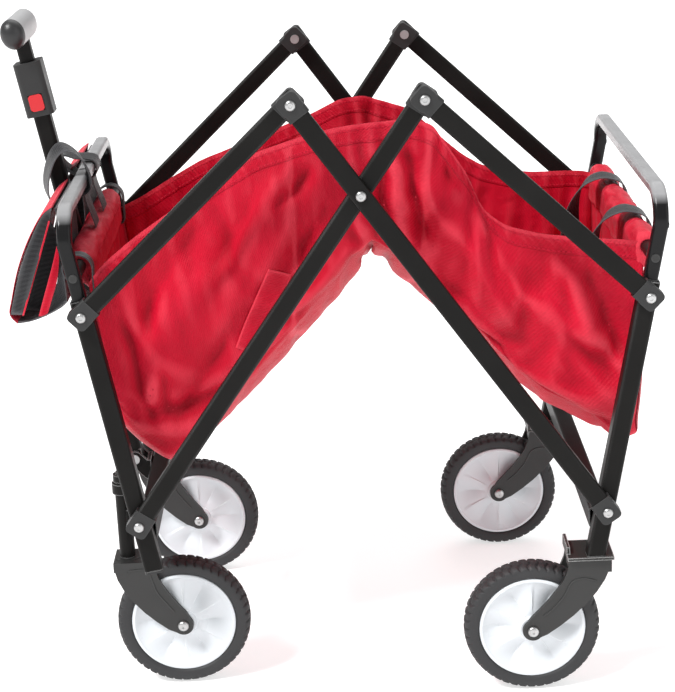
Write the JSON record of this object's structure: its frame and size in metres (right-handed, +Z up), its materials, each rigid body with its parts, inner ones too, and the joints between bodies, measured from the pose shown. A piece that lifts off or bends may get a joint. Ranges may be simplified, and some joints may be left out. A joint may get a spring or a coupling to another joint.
{
  "type": "folding wagon with pull handle",
  "caption": "Folding fabric utility wagon with scissor side frames, swivel front casters, end hoops and a telescopic pull handle, stored half folded.",
  "frame": {"origin": "on the ground under the middle of the wagon's overall length and width", "axes": "+Z up; -X is the front, the handle and caster end; +Y is the wagon's right side"},
  "size_m": [0.7676, 0.5198, 0.809],
  "materials": {
    "steel_black": "satin black powder coat",
    "hoop_gloss": "gloss black paint",
    "cap_plastic": "fine moulded texture",
    "fork_plastic": "satin moulded plastic",
    "bracket_steel": "bare folded steel",
    "bolt_steel": "zinc plated",
    "wheel_white": "glossy white moulding",
    "tyre_rubber": "treaded rubber",
    "red_fabric": "coated polyester weave",
    "black_fabric": "black polyester weave",
    "webbing": "woven webbing",
    "button_red": "semi gloss",
    "grip_foam": "soft touch"
  },
  "bodies": {
    "front_end": {"front_posts": "steel_black", "front_hoop": "hoop_gloss", "front_upper_bar": "steel_black", "front_lower_bar": "steel_black", "front_post_plugs": "cap_plastic", "front_pivot_bolts": "bolt_steel", "front_hoop_screws": "steel_black", "caster_stems": "steel_black", "handle_yoke": "steel_black", "handle_pivot_bolt": "bolt_steel", "bag_front": "red_fabric", "front_sleeve": "red_fabric", "cup_pouches": "black_fabric", "front_straps": "webbing", "hoop_straps": "webbing"},
    "caster_left": {"caster_fork_left": "fork_plastic", "caster_axle_left": "bolt_steel"},
    "caster_right": {"caster_fork_right": "fork_plastic", "caster_axle_right": "bolt_steel"},
    "wheel_front_left": {"front_wheel_left": "wheel_white", "front_tyre_left": "tyre_rubber"},
    "wheel_front_right": {"front_wheel_right": "wheel_white", "front_tyre_right": "tyre_rubber"},
    "wheel_rear_left": {"rear_wheel_left": "wheel_white", "rear_tyre_left": "tyre_rubber"},
    "wheel_rear_right": {"rear_wheel_right": "wheel_white", "rear_tyre_right": "tyre_rubber"},
    "rear_end": {"rear_posts": "steel_black", "rear_hoop": "hoop_gloss", "rear_upper_bar": "steel_black", "rear_lower_bar": "steel_black", "rear_post_plugs": "cap_plastic", "rear_hoop_screws": "steel_black", "rear_brackets": "bracket_steel", "rear_forks": "fork_plastic", "rear_axles": "bolt_steel", "bag_rear": "red_fabric", "rear_sleeve": "red_fabric", "rear_straps": "webbing"},
    "front_struts": {"front_strut_left": "steel_black", "front_strut_right": "steel_black", "front_strut_caps": "cap_plastic", "scissor_bolts": "bolt_steel", "bag_middle": "red_fabric"},
    "rear_struts": {"rear_strut_left": "steel_black", "rear_strut_right": "steel_black", "rear_strut_caps": "cap_plastic", "rear_pivot_bolts": "bolt_steel"},
    "front_link_pair": {"front_links": "steel_black", "front_link_caps": "cap_plastic", "front_link_bolts": "bolt_steel"},
    "rear_link_pair": {"rear_links": "steel_black", "rear_link_caps": "cap_plastic", "rear_link_bolts": "bolt_steel"},
    "handle": {"handle_tube": "steel_black", "handle_collar": "cap_plastic", "button_spring": "bolt_steel"},
    "lock_button": {"handle_button": "button_red"},
    "handle_slider": {"handle_inner_tube": "steel_black", "handle_grip": "grip_foam"}
  },
  "joints": [
    {"name": "fold", "type": "hinge", "parent": "front_end", "child": "front_struts", "pos_m": [-0.23503, 0, 0.24], "axis": [0, -1, 0], "range_deg": [-28.9, 28.5], "deforming": ["bag_front", "bag_middle", "bag_rear"]},
    {"name": "scissor", "type": "hinge", "parent": "front_struts", "child": "rear_struts", "pos_m": [0.03908, 0, 0.62915], "axis": [0, 1, 0], "range_deg": [-57.8, 57]},
    {"name": "rear_post_pivot", "type": "hinge", "parent": "rear_struts", "child": "rear_end", "pos_m": [0.31319, 0, 0.24], "axis": [0, -1, 0], "range_deg": [-28.9, 28.5]},
    {"name": "front_link_pivot", "type": "hinge", "parent": "rear_struts", "child": "front_link_pair", "pos_m": [-0.03406, 0, 0.73298], "axis": [0, -1, 0], "range_deg": [-63.58, 62.7]},
    {"name": "rear_link_pivot", "type": "hinge", "parent": "front_struts", "child": "rear_link_pair", "pos_m": [0.11221, 0, 0.73298], "axis": [0, 1, 0], "range_deg": [-63.58, 62.7]},
    {"name": "handle_pivot", "type": "hinge", "parent": "front_end", "child": "handle", "pos_m": [-0.26092, 0, 0.238], "axis": [0, -1, 0], "range_deg": [0, 85]},
    {"name": "handle_extend", "type": "slide", "parent": "handle", "child": "handle_slider", "axis": [-0.1783, 0, 0.984], "range_m": [0, 0.3]},
    {"name": "lock_press", "type": "slide", "parent": "handle", "child": "lock_button", "axis": [0, 1, 0], "range_m": [0, 0.0024], "stiffness_N_per_m": 400, "springref_m": -0.002, "deforming": ["button_spring"]},
    {"name": "caster_swivel_left", "type": "hinge", "parent": "front_end", "child": "caster_left", "pos_m": [-0.26092, -0.162, 0.2], "axis": [0, 0, 1], "continuous": true},
    {"name": "front_wheel_spin_left", "type": "hinge", "parent": "caster_left", "child": "wheel_front_left", "pos_m": [-0.19692, -0.162, 0.082], "axis": [0, 1, 0], "continuous": true},
    {"name": "rear_wheel_spin_left", "type": "hinge", "parent": "rear_end", "child": "wheel_rear_left", "pos_m": [0.22708, -0.216, 0.082], "axis": [0, 1, 0], "continuous": true},
    {"name": "caster_swivel_right", "type": "hinge", "parent": "front_end", "child": "caster_right", "pos_m": [-0.26092, 0.162, 0.2], "axis": [0, 0, 1], "continuous": true},
    {"name": "front_wheel_spin_right", "type": "hinge", "parent": "caster_right", "child": "wheel_front_right", "pos_m": [-0.19692, 0.162, 0.082], "axis": [0, 1, 0], "continuous": true},
    {"name": "rear_wheel_spin_right", "type": "hinge", "parent": "rear_end", "child": "wheel_rear_right", "pos_m": [0.22708, 0.216, 0.082], "axis": [0, 1, 0], "continuous": true}
  ],
  "couplings": [
    {"joint": "scissor", "follows": "fold", "ratio": 2},
    {"joint": "rear_post_pivot", "follows": "fold", "ratio": 1},
    {"joint": "front_link_pivot", "follows": "fold", "ratio": 2.2},
    {"joint": "rear_link_pivot", "follows": "fold", "ratio": 2.2}
  ]
}
